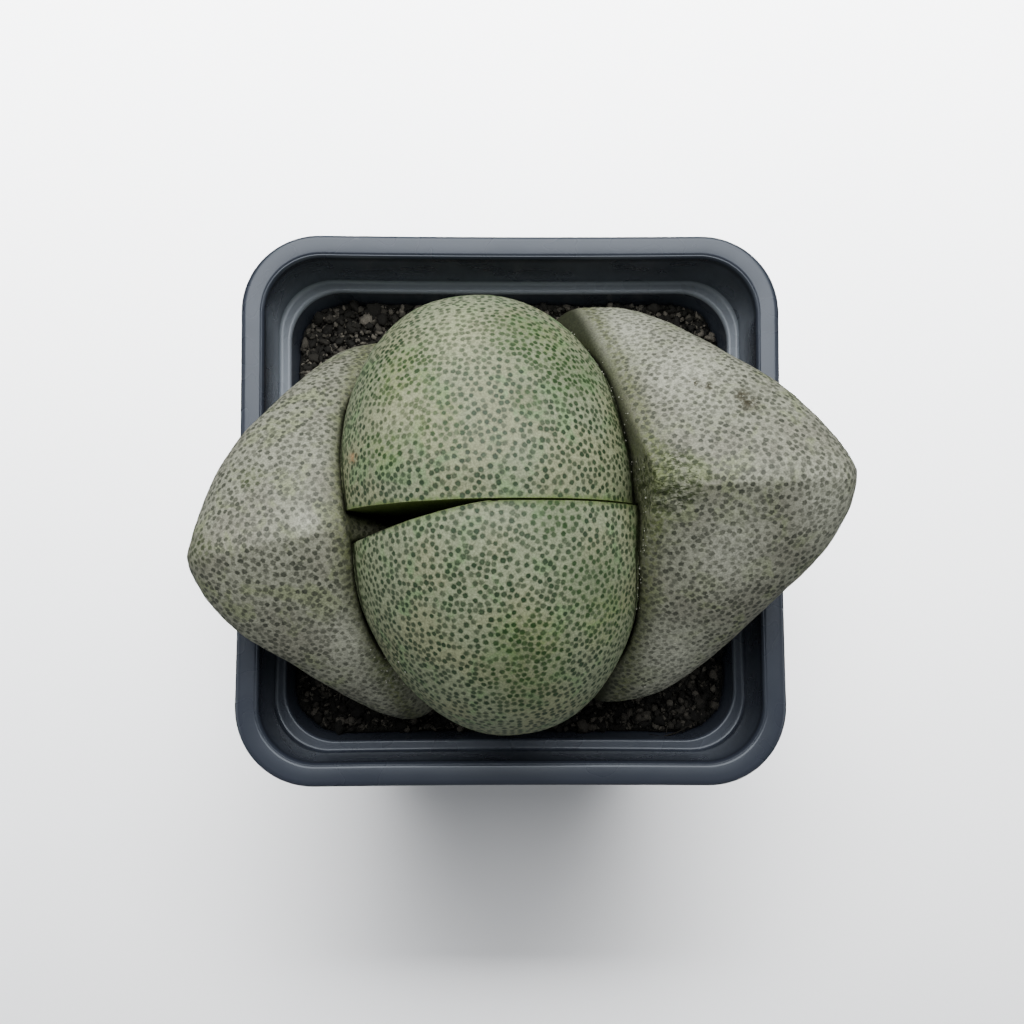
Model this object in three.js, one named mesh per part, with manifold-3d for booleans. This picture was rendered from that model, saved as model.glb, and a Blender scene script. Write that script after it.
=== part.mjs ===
// A potted split rock plant, in millimetres, with +Z up and the origin under the middle of the pot.
// Two pairs of thick leaves stand in dark gritty soil in a small square nursery pot.
// The old grey pair opens left and right, and the young green pair between them opens front and back.

import * as THREE from 'three';
import { ConvexGeometry } from 'three/addons/geometries/ConvexGeometry.js';
import { mergeVertices } from 'three/addons/utils/BufferGeometryUtils.js';
import Module from 'manifold-3d';

const wasm = await Module();
wasm.setup();

// Driving dimensions of the pot
const pot = {
  halfX: 34.75, // half the rim across X
  halfY: 35.25, // half the rim across Y
  height: 60,
  cornerRadius: 10.2,
  sideBow: 0.28, // each side of the rim is drawn in this much at its middle
  rimWidth: 2.6, // flat top of the rim
  rimEdge: 0.5, // rounding of the rim's two edges
  lipDepth: 2.4, // turned-out lip below the rim
  lipOverhang: 1.2, // lip beyond the collar
  collarDepth: 10.8, // from the rim down to the stacking ledge
  ledgeWidth: 1.4,
  wall: 1.2,
  baseHalf: 25.4, // half the base across
  floorTop: 3.4,
  floorThickness: 1.4,
  footWidth: 2.2,
  footLength: 10,
  drainRadius: 2.6,
  drainSpacing: 11.5, // drain holes from the middle of the base
};

// Driving dimensions of the soil and the root
const soil = {
  level: 45.4,
  relief: 0.55, // height of the lumps in its surface
  gap: 0.3, // to the pot's inside
  crumbs: 64,
  crumbSmall: 0.8,
  crumbLarge: 1.8,
};
const root = {
  middleX: -2,
  middleY: -1.6,
  crownX: 16.6, // half the crown across X
  crownY: 12.6, // half the crown across Y
  top: 37.7,
  bottom: 8,
  clearance: 0.4, // soil to the root all round
};

// Each leaf is a stack of level slices. A slice is a flat inner face and a bulging back that ends in a chin.
// faceX and faceY are the middle of the face's upper edge; turns are in degrees from +X.
const leafBase = 38;
const pressGap = 0.4; // between leaves that press on each other
const footClearance = 0.5; // more room than that round the leaves' feet in the soil
const leaves = {
  outer_leaf_right: {
    faceX: 15.4, faceY: 1, top: 84, faceTurn: 4, chinTurn: 3.5, lean: 0.172,
    chinRise: 5, faceDepth: 0.4, faceSwell: [7, 7.5], gape: 0,
    halfWidth: [25.6, 25.2], widthLevel: 59, widthArch: 1.27, widthTaper: 1.3, widthBase: 0.42,
    depth: 25.6, depthLevel: 71, depthArch: 2, depthTaper: 1.12, depthBase: 0.25,
    flankNearChin: [1.86, 1.3], flankNearFace: [2.1, 2.65],
    colour: 0x9a9b90,
  },
  outer_leaf_left: {
    faceX: -19.2, faceY: -3.2, top: 78, faceTurn: 186.8, chinTurn: 190, lean: 0.172,
    chinRise: 3, faceDepth: 0.8, faceSwell: [2.2, 4.4], gape: 0,
    halfWidth: [25.3, 24.7], widthLevel: 53, widthArch: 1.46, widthTaper: 1.3, widthBase: 0.42,
    depth: 20.9, depthLevel: 67.5, depthArch: 2, depthTaper: 0.9, depthBase: 0.25,
    flankNearChin: [1.02, 1.6], flankNearFace: [3.6, 2.2],
    colour: 0x969a8c,
  },
  inner_leaf_back: {
    faceX: -2.85, faceY: -1.72, top: 88, faceTurn: 91.3, chinTurn: 93, lean: 0,
    chinRise: 0, faceDepth: 0.08, faceSwell: [0, 0], gape: 0,
    halfWidth: [18.1, 17.7], widthLevel: 68, widthArch: 2.1, widthTaper: 1.25, widthBase: 0.38,
    depth: 26.32, depthLevel: 68, depthArch: 2, depthTaper: 1.3, depthBase: 0.25,
    flankNearChin: [2.1, 2.3], flankNearFace: [2.15, 2.3],
    colour: 0x9fae8a,
  },
  inner_leaf_front: {
    faceX: -2.1, faceY: -2.18, top: 88, faceTurn: -88.7, chinTurn: -86.9, lean: 0,
    chinRise: 0, faceDepth: 0.08, faceSwell: [0, 0], gape: 3.1,
    halfWidth: [17.5, 18.2], widthLevel: 68, widthArch: 2.1, widthTaper: 1.25, widthBase: 0.38,
    depth: 25.77, depthLevel: 68, depthArch: 2, depthTaper: 1.3, depthBase: 0.25,
    flankNearChin: [2.1, 2.3], flankNearFace: [1.75, 1.9],
    colour: 0x98a888,
  },
};
const gapeStart = -0.5; // across the face, where the fissure starts to open
const gapeLength = 18;
const gapePower = 1.15;

// Facets
const leafRings = 22;
const backSteps = 26;
const faceSteps = 10;
const cornerSteps = 6;
const sideSteps = 3;

// A repeatable random number in 0 to 1
let seed = 7;
function random() {
  seed = (seed * 16807) % 2147483647;
  return seed / 2147483647;
}

function toManifold(geometry) {
  const bare = geometry.clone();
  bare.deleteAttribute('normal');
  bare.deleteAttribute('uv');
  const merged = mergeVertices(bare, 1e-4);
  const vertProperties = new Float32Array(merged.attributes.position.array);
  const triVerts = new Uint32Array(merged.index.array);
  return new wasm.Manifold(new wasm.Mesh({ numProp: 3, vertProperties, triVerts }));
}

function toGeometry(manifold) {
  const mesh = manifold.getMesh();
  const geometry = new THREE.BufferGeometry();
  geometry.setAttribute('position', new THREE.BufferAttribute(new Float32Array(mesh.vertProperties), 3));
  geometry.setIndex(new THREE.BufferAttribute(new Uint32Array(mesh.triVerts), 1));
  geometry.computeVertexNormals();
  return geometry;
}

// The largest single body of a cut solid
function mainBody(manifold) {
  const bodies = manifold.decompose();
  return bodies.reduce((best, body) => (body.volume() > best.volume() ? body : best));
}

// Joins closed loops of equal length into one closed skin. The first loop is the lowest of the outside,
// and both ends are closed by a fan about the middle of their loop.
function loft(loops) {
  const count = loops[0].length;
  const positions = loops.flat().flatMap((p) => [p.x, p.y, p.z]);
  const faces = [];
  for (let ring = 0; ring + 1 < loops.length; ring += 1) {
    for (let i = 0; i < count; i += 1) {
      const a = ring * count + i;
      const b = ring * count + ((i + 1) % count);
      faces.push(a, b, b + count, a, b + count, a + count);
    }
  }
  for (const [ring, flip] of [[0, true], [loops.length - 1, false]]) {
    const middle = new THREE.Vector3();
    loops[ring].forEach((p) => middle.addScaledVector(p, 1 / count));
    const centre = positions.length / 3;
    positions.push(middle.x, middle.y, middle.z);
    for (let i = 0; i < count; i += 1) {
      const a = ring * count + i;
      const b = ring * count + ((i + 1) % count);
      faces.push(centre, flip ? b : a, flip ? a : b);
    }
  }
  const geometry = new THREE.BufferGeometry();
  geometry.setAttribute('position', new THREE.Float32BufferAttribute(positions, 3));
  geometry.setIndex(faces);
  return geometry;
}

// A level loop round the pot, this far inside the rim's outer edge. Its corners tighten down the taper.
const collarInset = 3;
function potLoop(inset, z) {
  const halfX = pot.halfX - inset;
  const halfY = pot.halfY - inset;
  const radius = pot.cornerRadius - 0.9 * Math.min(inset, collarInset) - 0.25 * Math.max(inset - collarInset, 0);
  const loop = [];
  const corners = [[1, 1, 0], [-1, 1, 90], [-1, -1, 180], [1, -1, 270]];
  corners.forEach(([sideX, sideY, start], c) => {
    const middle = new THREE.Vector2(sideX * (halfX - radius), sideY * (halfY - radius));
    for (let i = 0; i <= cornerSteps; i += 1) {
      const turn = THREE.MathUtils.degToRad(start + (90 * i) / cornerSteps);
      loop.push(new THREE.Vector3(middle.x + radius * Math.cos(turn), middle.y + radius * Math.sin(turn), z));
    }
    const [nextX, nextY, nextStart] = corners[(c + 1) % 4];
    const nextTurn = THREE.MathUtils.degToRad(nextStart);
    const next = new THREE.Vector3(
      nextX * (halfX - radius) + radius * Math.cos(nextTurn),
      nextY * (halfY - radius) + radius * Math.sin(nextTurn),
      z,
    );
    const last = loop[loop.length - 1];
    for (let i = 1; i <= sideSteps; i += 1) {
      loop.push(last.clone().lerp(next, i / (sideSteps + 1)));
    }
  });
  return loop.map((p) => {
    const bowX = pot.sideBow * (1 - (p.y / halfY) ** 2);
    const bowY = pot.sideBow * (1 - (p.x / halfX) ** 2);
    return new THREE.Vector3(p.x * (1 - bowX / halfX), p.y * (1 - bowY / halfY), p.z);
  });
}

// A loop this far inside the tapered wall below the ledge
const ledgeZ = pot.height - pot.collarDepth;
const ledgeInset = pot.rimWidth + 0.15 + pot.ledgeWidth;
const floorInset = pot.halfX - pot.baseHalf + pot.wall;
const wallTop = ledgeZ - 0.3;
const wallBottom = pot.floorTop + 1.2;
function insideLoop(gap, z) {
  const foot = potLoop(floorInset + gap, z);
  const share = (wallTop - z) / (wallTop - wallBottom);
  return potLoop(ledgeInset + gap, z).map((p, i) => p.lerp(foot[i], share));
}

function potSolid() {
  const underside = pot.floorTop - pot.floorThickness;
  const collarOut = pot.lipOverhang;
  const bodyInset = ledgeInset - pot.wall;
  const stepZ = ledgeZ - pot.wall;
  const lipZ = pot.height - pot.lipDepth;
  const profile = [
    [pot.halfX - pot.baseHalf + 0.8, underside],
    [pot.halfX - pot.baseHalf, underside + 0.8],
    [bodyInset, stepZ - 0.4],
    [bodyInset - 0.3, stepZ],
    [collarOut + 0.4, stepZ],
    [collarOut, stepZ + 0.4],
    [collarOut, lipZ],
    [0.3, lipZ],
    [0, lipZ + 0.4],
    [0, pot.height - pot.rimEdge],
    [pot.rimEdge * 0.3, pot.height - pot.rimEdge * 0.3],
    [pot.rimEdge, pot.height],
    [pot.rimWidth - pot.rimEdge, pot.height],
    [pot.rimWidth - pot.rimEdge * 0.3, pot.height - pot.rimEdge * 0.3],
    [pot.rimWidth, pot.height - pot.rimEdge],
    [pot.rimWidth + 0.15, ledgeZ + 0.35],
    [pot.rimWidth + 0.45, ledgeZ],
    [ledgeInset - 0.3, ledgeZ],
    [ledgeInset, wallTop],
    [floorInset, wallBottom],
    [floorInset + 1.2, pot.floorTop],
  ];
  let solid = toManifold(loft(profile.map(([inset, z]) => potLoop(inset, z))));
  for (const [x, y] of cornersOf(pot.baseHalf - 0.8)) {
    solid = solid.add(toManifold(cornerFoot(x, y, underside + 0.6)));
  }
  const holes = [[0, 0], ...cornersOf(pot.drainSpacing)];
  for (const [x, y] of holes) {
    solid = solid.subtract(toManifold(drainHole(x, y)));
  }
  return toGeometry(solid);
}

function cornersOf(half) {
  return [[half, half], [-half, half], [-half, -half], [half, -half]];
}

// An L of two short legs, from the table up into the pot's underside
function cornerFoot(x, y, top) {
  const toX = -Math.sign(x);
  const toY = -Math.sign(y);
  const inset = 2; // keeps the foot inside the base's rounded corner
  const outline = [
    [inset, inset],
    [pot.footLength, inset],
    [pot.footLength, inset + pot.footWidth],
    [inset + pot.footWidth, inset + pot.footWidth],
    [inset + pot.footWidth, pot.footLength],
    [inset, pot.footLength],
  ].map(([a, b]) => new THREE.Vector2(x + toX * a, y + toY * b));
  return new THREE.ExtrudeGeometry(new THREE.Shape(outline), { depth: top, bevelEnabled: false, steps: 1 });
}

function drainHole(x, y) {
  const hole = new THREE.CylinderGeometry(pot.drainRadius, pot.drainRadius, pot.floorTop * 3, 16);
  hole.rotateX(Math.PI / 2);
  hole.translate(x, y, pot.floorTop);
  return hole;
}

// Slice size above and below its widest level, as a share of the full size
function archShare(z, level, top, power) {
  return (1 - ((z - level) / (top - level)) ** power) ** (1 / power);
}
function taperShare(z, level, power, base) {
  const down = Math.min((level - z) / (level - leafBase), 1);
  return base + (1 - base) * (1 - down ** power) ** (1 / power);
}
function sliceShare(z, level, top, arch, taper, base) {
  return z > level ? archShare(z, level, top, arch) : taperShare(z, level, taper, base);
}

// How far a direction reaches to the curve x^powerX + y^powerY = 1
function reach(x, y, powerX, powerY) {
  let low = 0.5;
  let high = 2;
  for (let i = 0; i < 40; i += 1) {
    const middle = (low + high) / 2;
    if ((middle * x) ** powerX + (middle * y) ** powerY > 1) high = middle;
    else low = middle;
  }
  return low;
}

// One level slice as [across the face, out to the chin], counter-clockwise seen from above
function slicePoints(leaf, z, grow) {
  const share = sliceShare(z, leaf.widthLevel, leaf.top, leaf.widthArch, leaf.widthTaper, leaf.widthBase);
  const outShare = sliceShare(z, leaf.depthLevel, leaf.top, leaf.depthArch, leaf.depthTaper, leaf.depthBase);
  const depth = leaf.depth * outShare + grow;
  const above = Math.max((z - leaf.widthLevel) / (leaf.top - leaf.widthLevel), 0);
  const foot = THREE.MathUtils.smoothstep(z, leafBase, leaf.widthLevel);
  const rounding = Math.sqrt(1 - above ** 6);
  const points = [];
  for (let i = 0; i < backSteps; i += 1) {
    const turn = (Math.PI * i) / backSteps;
    const side = Math.cos(turn) >= 0 ? 0 : 1;
    const x = Math.abs(Math.cos(turn));
    const y = Math.sin(turn);
    const k = reach(x, y, leaf.flankNearChin[side], leaf.flankNearFace[side]);
    const width = leaf.halfWidth[side] * share + grow;
    points.push([Math.sign(Math.cos(turn)) * k * x * width, k * y * depth - grow * (1 - y)]);
  }
  for (let i = 0; i < faceSteps; i += 1) {
    const across = -Math.cos((Math.PI * i) / faceSteps);
    const width = leaf.halfWidth[across >= 0 ? 0 : 1] * share + grow;
    const swell = leaf.faceSwell[across >= 0 ? 0 : 1] * foot * (1 - above) * across ** 2;
    const bulge = leaf.faceDepth * rounding + swell;
    points.push([across * width, -grow - bulge * Math.sqrt(1 - Math.abs(across) ** 6)]);
  }
  return points;
}

// Puts a point of a slice in the pot's frame
function placePoint(leaf, across, out, z) {
  const faceTurn = THREE.MathUtils.degToRad(leaf.faceTurn);
  const chinTurn = THREE.MathUtils.degToRad(leaf.chinTurn);
  const back = (z - leaf.top) * leaf.lean;
  const opening = Math.max((across - gapeStart) / gapeLength, 0) ** gapePower * leaf.gape;
  const moved = out + opening * (1 - (out + leaf.faceDepth) / (leaf.depth + leaf.faceDepth));
  const up = THREE.MathUtils.smoothstep(z, leafBase, leaf.depthLevel);
  return new THREE.Vector3(
    leaf.faceX + back * Math.cos(faceTurn) + across * Math.sin(faceTurn) + moved * Math.cos(chinTurn),
    leaf.faceY + back * Math.sin(faceTurn) - across * Math.cos(faceTurn) + moved * Math.sin(chinTurn),
    z + (moved / leaf.depth) * leaf.chinRise * up,
  );
}

// Loops from the base to just under the pointed top, closer together near the top
function leafLoops(leaf, grow) {
  const loops = [];
  for (let ring = 0; ring < leafRings; ring += 1) {
    const share = 1 - (1 - ring / leafRings) ** 1.9;
    const z = THREE.MathUtils.lerp(leafBase, leaf.top, share);
    const bottom = ring === 0 ? -grow : 0;
    loops.push(slicePoints(leaf, z, grow).map(([across, out]) => {
      const p = placePoint(leaf, across, out, z);
      p.z += bottom + (grow * ring) / leafRings;
      return p;
    }));
  }
  return loops;
}

function leafSolid(leaf, grow = 0) {
  return toManifold(loft(leafLoops(leaf, grow)));
}

// The old leaves are dented where the young pair presses on them
function outerLeafGeometry(name) {
  const pressed = leafSolid(leaves[name])
    .subtract(leafSolid(leaves.inner_leaf_back, pressGap))
    .subtract(leafSolid(leaves.inner_leaf_front, pressGap));
  return toGeometry(mainBody(pressed));
}

function innerLeafGeometry(name) {
  return toGeometry(leafSolid(leaves[name]));
}

// The crown that carries the leaves, and the taproot below it
function rootGeometry(grow = 0) {
  const outline = [
    [0, root.bottom], [0.05, root.bottom], [0.1, 12], [0.16, 18], [0.26, 24], [0.42, 29], [0.66, 33], [0.93, 36], [1, root.top - 0.6],
    [0.97, root.top],
  ];
  const reachOut = outline.map(([share, z]) => new THREE.Vector2(
    share === 0 ? 0 : share * root.crownY + grow,
    z + (z === root.top ? grow : 0) - (z === root.bottom ? grow : 0),
  ));
  reachOut.push(new THREE.Vector2(0, root.top + grow));
  const solid = new THREE.LatheGeometry(reachOut, 18);
  solid.rotateX(Math.PI / 2);
  solid.scale(root.crownX / root.crownY, 1, 1);
  solid.translate(root.middleX, root.middleY, 0);
  return solid;
}

// Low lumps of the soil's surface, as a sum of waves that don't line up
function lumps(x, y) {
  const broad = Math.sin(x * 0.42 + 1.3) * Math.cos(y * 0.37 + 0.4);
  const fine = Math.sin(x * 1.31 + y * 0.83) * Math.cos(y * 1.57 - x * 0.49);
  return soil.relief * (0.6 * broad + 0.4 * fine);
}

function soilLoops() {
  const loops = [
    potLoop(floorInset + 1.3 + soil.gap, pot.floorTop + soil.gap),
    insideLoop(soil.gap, wallBottom + soil.gap),
    insideLoop(soil.gap, soil.level - 0.7),
  ];
  const edge = insideLoop(soil.gap + 0.15, soil.level);
  for (const share of [1, 0.9, 0.8, 0.7, 0.58]) {
    loops.push(edge.map((p) => {
      const x = p.x * share;
      const y = p.y * share;
      return new THREE.Vector3(x, y, soil.level + (share < 1 ? lumps(x, y) : -0.2));
    }));
  }
  return loops;
}

// A grain of grit: a rough ball of few faces, sunk into the surface
function crumbGeometry(x, y, size) {
  const crumb = mergeVertices(stripped(new THREE.IcosahedronGeometry(size, 0)), 1e-3);
  const points = crumb.attributes.position;
  for (let i = 0; i < points.count; i += 1) {
    const swell = 0.8 + 0.35 * random();
    points.setXYZ(i, points.getX(i) * swell, points.getY(i) * swell, points.getZ(i) * swell);
  }
  crumb.rotateZ(random() * Math.PI);
  crumb.translate(x, y, soil.level + lumps(x, y) + size * 0.15);
  return crumb;
}

function stripped(geometry) {
  geometry.deleteAttribute('normal');
  geometry.deleteAttribute('uv');
  return geometry;
}

// Points of the leaves' feet below this level, which the hole in the soil has to hold
function feetPoints() {
  const points = [];
  for (const leaf of Object.values(leaves)) {
    const feet = leafLoops(leaf, pressGap + footClearance).filter((loop) => loop[0].z < soil.level + 6);
    points.push(...feet.filter((loop, i) => i % 3 !== 2).flat(), ...feet[feet.length - 1]);
  }
  return points;
}

function soilGeometry() {
  let solid = toManifold(loft(soilLoops()));
  const edge = insideLoop(2, soil.level);
  const limitX = Math.max(...edge.map((p) => p.x));
  const limitY = Math.max(...edge.map((p) => p.y));
  const corner = 5; // keeps crumbs out of the rounded corners
  let placed = 0;
  while (placed < soil.crumbs) {
    const x = (random() * 2 - 1) * limitX;
    const y = (random() * 2 - 1) * limitY;
    const size = THREE.MathUtils.lerp(soil.crumbSmall, soil.crumbLarge, random() ** 2);
    const inCorner = Math.hypot(Math.max(Math.abs(x) - limitX + corner, 0), Math.max(Math.abs(y) - limitY + corner, 0));
    const open = Math.hypot(x / 27, y / 26) > 1;
    if (open && inCorner < corner) {
      solid = solid.add(toManifold(crumbGeometry(x, y, size)));
      placed += 1;
    }
  }
  solid = solid.subtract(toManifold(new ConvexGeometry(feetPoints())));
  solid = solid.subtract(toManifold(rootGeometry(root.clearance)));
  return toGeometry(mainBody(solid));
}

function part(name, geometry, colour, roughness) {
  const material = new THREE.MeshStandardMaterial({ color: colour, roughness, metalness: 0 });
  const mesh = new THREE.Mesh(geometry, material);
  mesh.name = name;
  return mesh;
}

const plant = new THREE.Group();
plant.add(part('pot', potSolid(), 0x4a505c, 0.45));
plant.add(part('soil', soilGeometry(), 0x2a2622, 1));
plant.add(part('rootstock', rootGeometry(), 0x8b7a5f, 0.9));
for (const name of ['outer_leaf_left', 'outer_leaf_right']) {
  plant.add(part(name, outerLeafGeometry(name), leaves[name].colour, 0.7));
}
for (const name of ['inner_leaf_back', 'inner_leaf_front']) {
  plant.add(part(name, innerLeafGeometry(name), leaves[name].colour, 0.65));
}

export default plant;
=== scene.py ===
import math

import bmesh
import bpy
import numpy as np
from mathutils import Matrix, Vector, noise
from mathutils.bvhtree import BVHTree
from mathutils.kdtree import KDTree


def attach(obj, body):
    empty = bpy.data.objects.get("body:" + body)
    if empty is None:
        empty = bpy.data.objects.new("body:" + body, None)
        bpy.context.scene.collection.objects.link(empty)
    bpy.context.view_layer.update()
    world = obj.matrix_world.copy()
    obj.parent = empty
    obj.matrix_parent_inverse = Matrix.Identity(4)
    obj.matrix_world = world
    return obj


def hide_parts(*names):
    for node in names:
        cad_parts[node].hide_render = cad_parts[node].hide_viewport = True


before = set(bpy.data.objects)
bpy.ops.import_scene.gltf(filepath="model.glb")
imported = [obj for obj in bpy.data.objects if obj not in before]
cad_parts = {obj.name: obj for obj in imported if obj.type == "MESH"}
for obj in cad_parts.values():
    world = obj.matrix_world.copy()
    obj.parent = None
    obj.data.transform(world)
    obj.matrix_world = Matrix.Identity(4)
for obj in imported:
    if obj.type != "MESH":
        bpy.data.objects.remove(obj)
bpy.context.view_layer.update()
mm = 0.001  # every size below is in millimetres


def addToScene(name, data):
    thing = bpy.data.objects.new(name, data)
    bpy.context.scene.collection.objects.link(thing)
    return thing


# Camera: looks almost straight down on the plant

cameraLook = {
    "place": (-1.984, -13.511, 214.0),
    "pitch": 0.0823,  # radians, about X
    "roll": -0.0135,  # radians, about Y
    "yaw": -0.0004,
    "lens": 42.9,
    "sensor": 36.0,
}


def makeCamera(look):
    data = bpy.data.cameras.new("camera")
    data.lens = look["lens"]
    data.sensor_width = look["sensor"]
    data.clip_start = 0.01
    camera = addToScene("camera", data)
    turn = Matrix.Rotation(look["yaw"], 4, "Z")
    turn = turn @ Matrix.Rotation(look["pitch"], 4, "X") @ Matrix.Rotation(look["roll"], 4, "Y")
    camera.matrix_world = Matrix.Translation(Vector(look["place"]) * mm) @ turn
    bpy.context.scene.camera = camera


makeCamera(cameraLook)
print("camera in place")


# Small helpers for meshes

def smoothStep(value, low, high):
    share = np.clip((value - low) / (high - low), 0.0, 1.0)
    return share * share * (3.0 - 2.0 * share)


def loftFaces(loopCount, pointCount):
    around = np.arange(pointCount)
    after = (around + 1) % pointCount
    quads = []
    for ring in range(loopCount - 1):
        a = ring * pointCount
        quads.append(np.stack([a + around, a + after, a + after + pointCount, a + around + pointCount], 1))
    return np.concatenate(quads).tolist()


def loft(loops):
    # Closed loops of equal length become one closed skin, with a fan on each end
    loops = np.asarray(loops)
    loopCount, pointCount, _ = loops.shape
    points = loops.reshape(-1, 3)
    faces = loftFaces(loopCount, pointCount)
    low, high = len(points), len(points) + 1
    points = np.vstack([points, loops[0].mean(0), loops[-1].mean(0)])
    top = (loopCount - 1) * pointCount
    for i in range(pointCount):
        j = (i + 1) % pointCount
        faces.append([low, j, i])
        faces.append([high, top + i, top + j])
    return points, faces


def newObject(name, points, faces, scale=mm):
    mesh = bpy.data.meshes.new(name)
    mesh.from_pydata((np.asarray(points) * scale).tolist(), [], faces)
    mesh.polygons.foreach_set("use_smooth", [True] * len(mesh.polygons))
    mesh.update()
    return addToScene(name, mesh)


def vertexArray(mesh, normals=False):
    values = np.zeros(len(mesh.vertices) * 3, np.float32)
    if normals:
        mesh.vertex_normals.foreach_get("vector", values)
    else:
        mesh.vertices.foreach_get("co", values)
    return values.reshape(-1, 3).astype(float)


def setVertices(mesh, points):
    mesh.vertices.foreach_set("co", np.asarray(points, np.float32).ravel())
    mesh.update()


def setValues(mesh, name, values):
    layer = mesh.attributes.new(name, "FLOAT", "POINT")
    layer.data.foreach_set("value", np.asarray(values, np.float32))


def setFaceVectors(mesh, name, values):
    layer = mesh.attributes.new(name, "FLOAT_VECTOR", "FACE")
    layer.data.foreach_set("vector", np.asarray(values, np.float32).ravel())


def faceMiddles(mesh):
    middles, areas = np.zeros(len(mesh.polygons) * 3, np.float32), np.zeros(len(mesh.polygons), np.float32)
    mesh.polygons.foreach_get("center", middles)
    mesh.polygons.foreach_get("area", areas)
    return middles.reshape(-1, 3).astype(float), areas.astype(float)


def bakeModifiers(thing):
    # Applies the modifiers and gives the finished mesh back, with the working object removed
    graph = bpy.context.evaluated_depsgraph_get()
    mesh = bpy.data.meshes.new_from_object(thing.evaluated_get(graph))
    bpy.data.objects.remove(thing)
    return mesh


def newPiece(name, mesh, points, material):
    # A finished mesh, with its points in millimetres, becomes a smooth piece with one material
    setVertices(mesh, points * mm)
    mesh.polygons.foreach_set("use_smooth", [True] * len(mesh.polygons))
    mesh.name = name
    mesh.materials.clear()
    mesh.materials.append(material)
    return addToScene(name, mesh)


def cutInto(target, other, operation, solver="MANIFOLD"):
    step = target.modifiers.new(operation, "BOOLEAN")
    step.operation = operation
    step.solver = solver
    step.object = other


def mainIsland(mesh):
    # Keeps the largest connected body, so that no scrap of a cut is left
    count = len(mesh.vertices)
    edges = np.zeros(len(mesh.edges) * 2, np.int32)
    mesh.edges.foreach_get("vertices", edges)
    edges = edges.reshape(-1, 2)
    label = np.arange(count)
    while True:
        lowest = np.minimum(label[edges[:, 0]], label[edges[:, 1]])
        before = label.copy()
        np.minimum.at(label, edges[:, 0], lowest)
        np.minimum.at(label, edges[:, 1], lowest)
        label = label[label]
        if (label == before).all():
            break
    sizes = np.bincount(label, minlength=count)
    keep = label == sizes.argmax()
    if keep.all():
        return mesh
    faces = [list(p.vertices) for p in mesh.polygons if keep[p.vertices[0]]]
    renumber = np.cumsum(keep) - 1
    trimmed = bpy.data.meshes.new(mesh.name + "_main")
    trimmed.from_pydata(vertexArray(mesh)[keep].tolist(), [], [[int(renumber[v]) for v in f] for f in faces])
    trimmed.update()
    return trimmed


def waves(points, size, seed, octaves=2):
    # Smooth noise in -1 to 1 for each point, with lumps of about this size
    shift = Vector((seed * 13.7, seed * 7.1, seed * 3.3))
    return np.array([noise.fractal(Vector(p) / size + shift, 0.6, 2.0, octaves) for p in points])


# Small helpers for materials

def addNode(tree, kind, inputs=None, **settings):
    made = tree.nodes.new(kind)
    for key, value in settings.items():
        setattr(made, key, value)
    for key, value in (inputs or {}).items():
        if isinstance(value, bpy.types.NodeSocket):
            tree.links.new(value, made.inputs[key])
        else:
            made.inputs[key].default_value = value
    return made


def newMaterial(name):
    # An empty material, its node tree, and the place on the object that its patterns follow
    made = bpy.data.materials.new(name)
    made.use_nodes = True
    tree = made.node_tree
    tree.nodes.clear()
    return made, tree, addNode(tree, "ShaderNodeTexCoord").outputs["Object"]


def mixColour(tree, share, first, second, blend="MIX"):
    made = addNode(tree, "ShaderNodeMix", {0: share, 6: first, 7: second}, data_type="RGBA", blend_type=blend)
    return made.outputs[2]


def maths(tree, operation, first, second=0.0):
    return addNode(tree, "ShaderNodeMath", {0: first, 1: second}, operation=operation).outputs[0]


def times(tree, first, second):
    return maths(tree, "MULTIPLY", first, second)


def spread(tree, value, lowIn, highIn, lowOut=0.0, highOut=1.0, smooth=True):
    kind = "SMOOTHSTEP" if smooth else "LINEAR"
    inputs = {"Value": value, "From Min": lowIn, "From Max": highIn, "To Min": lowOut, "To Max": highOut}
    return addNode(tree, "ShaderNodeMapRange", inputs, interpolation_type=kind).outputs[0]


def noiseOf(tree, place, perMm, detail=3.0, rough=0.55, distortion=0.0):
    inputs = {"Vector": place, "Scale": perMm / mm, "Detail": detail, "Roughness": rough,
              "Distortion": distortion}
    return addNode(tree, "ShaderNodeTexNoise", inputs).outputs["Fac"]


def attribute(tree, name):
    return addNode(tree, "ShaderNodeAttribute", attribute_name=name).outputs["Fac"]


def vectorParts(tree, name):
    vector = addNode(tree, "ShaderNodeAttribute", attribute_name=name).outputs["Vector"]
    return addNode(tree, "ShaderNodeSeparateXYZ", {0: vector}).outputs


def stretchedPlace(tree, place, scale):
    return addNode(tree, "ShaderNodeMapping", {"Vector": place, "Scale": scale}).outputs[0]


def along(tree, place, axis):
    # The place along one axis, in millimetres
    parts = addNode(tree, "ShaderNodeSeparateXYZ", {0: place}).outputs
    return times(tree, parts[axis], 1 / mm)


def dimmed(tree, colour, light):
    # A colour made darker or lighter by a factor
    grey = addNode(tree, "ShaderNodeCombineColor", {0: light, 1: light, 2: light}).outputs[0]
    return mixColour(tree, 1.0, colour, grey, "MULTIPLY")


def finishMaterial(tree, colour, roughness, normal, **constants):
    shader = addNode(tree, "ShaderNodeBsdfPrincipled", {"Base Color": colour, "Roughness": roughness})
    tree.links.new(normal, shader.inputs["Normal"])
    for key, value in constants.items():
        shader.inputs[key.replace("_", " ")].default_value = value
    end = addNode(tree, "ShaderNodeOutputMaterial")
    tree.links.new(shader.outputs[0], end.inputs["Surface"])


def bump(tree, height, strength, distance):
    inputs = {"Height": height, "Strength": strength, "Distance": distance * mm}
    return addNode(tree, "ShaderNodeBump", inputs).outputs[0]


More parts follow.
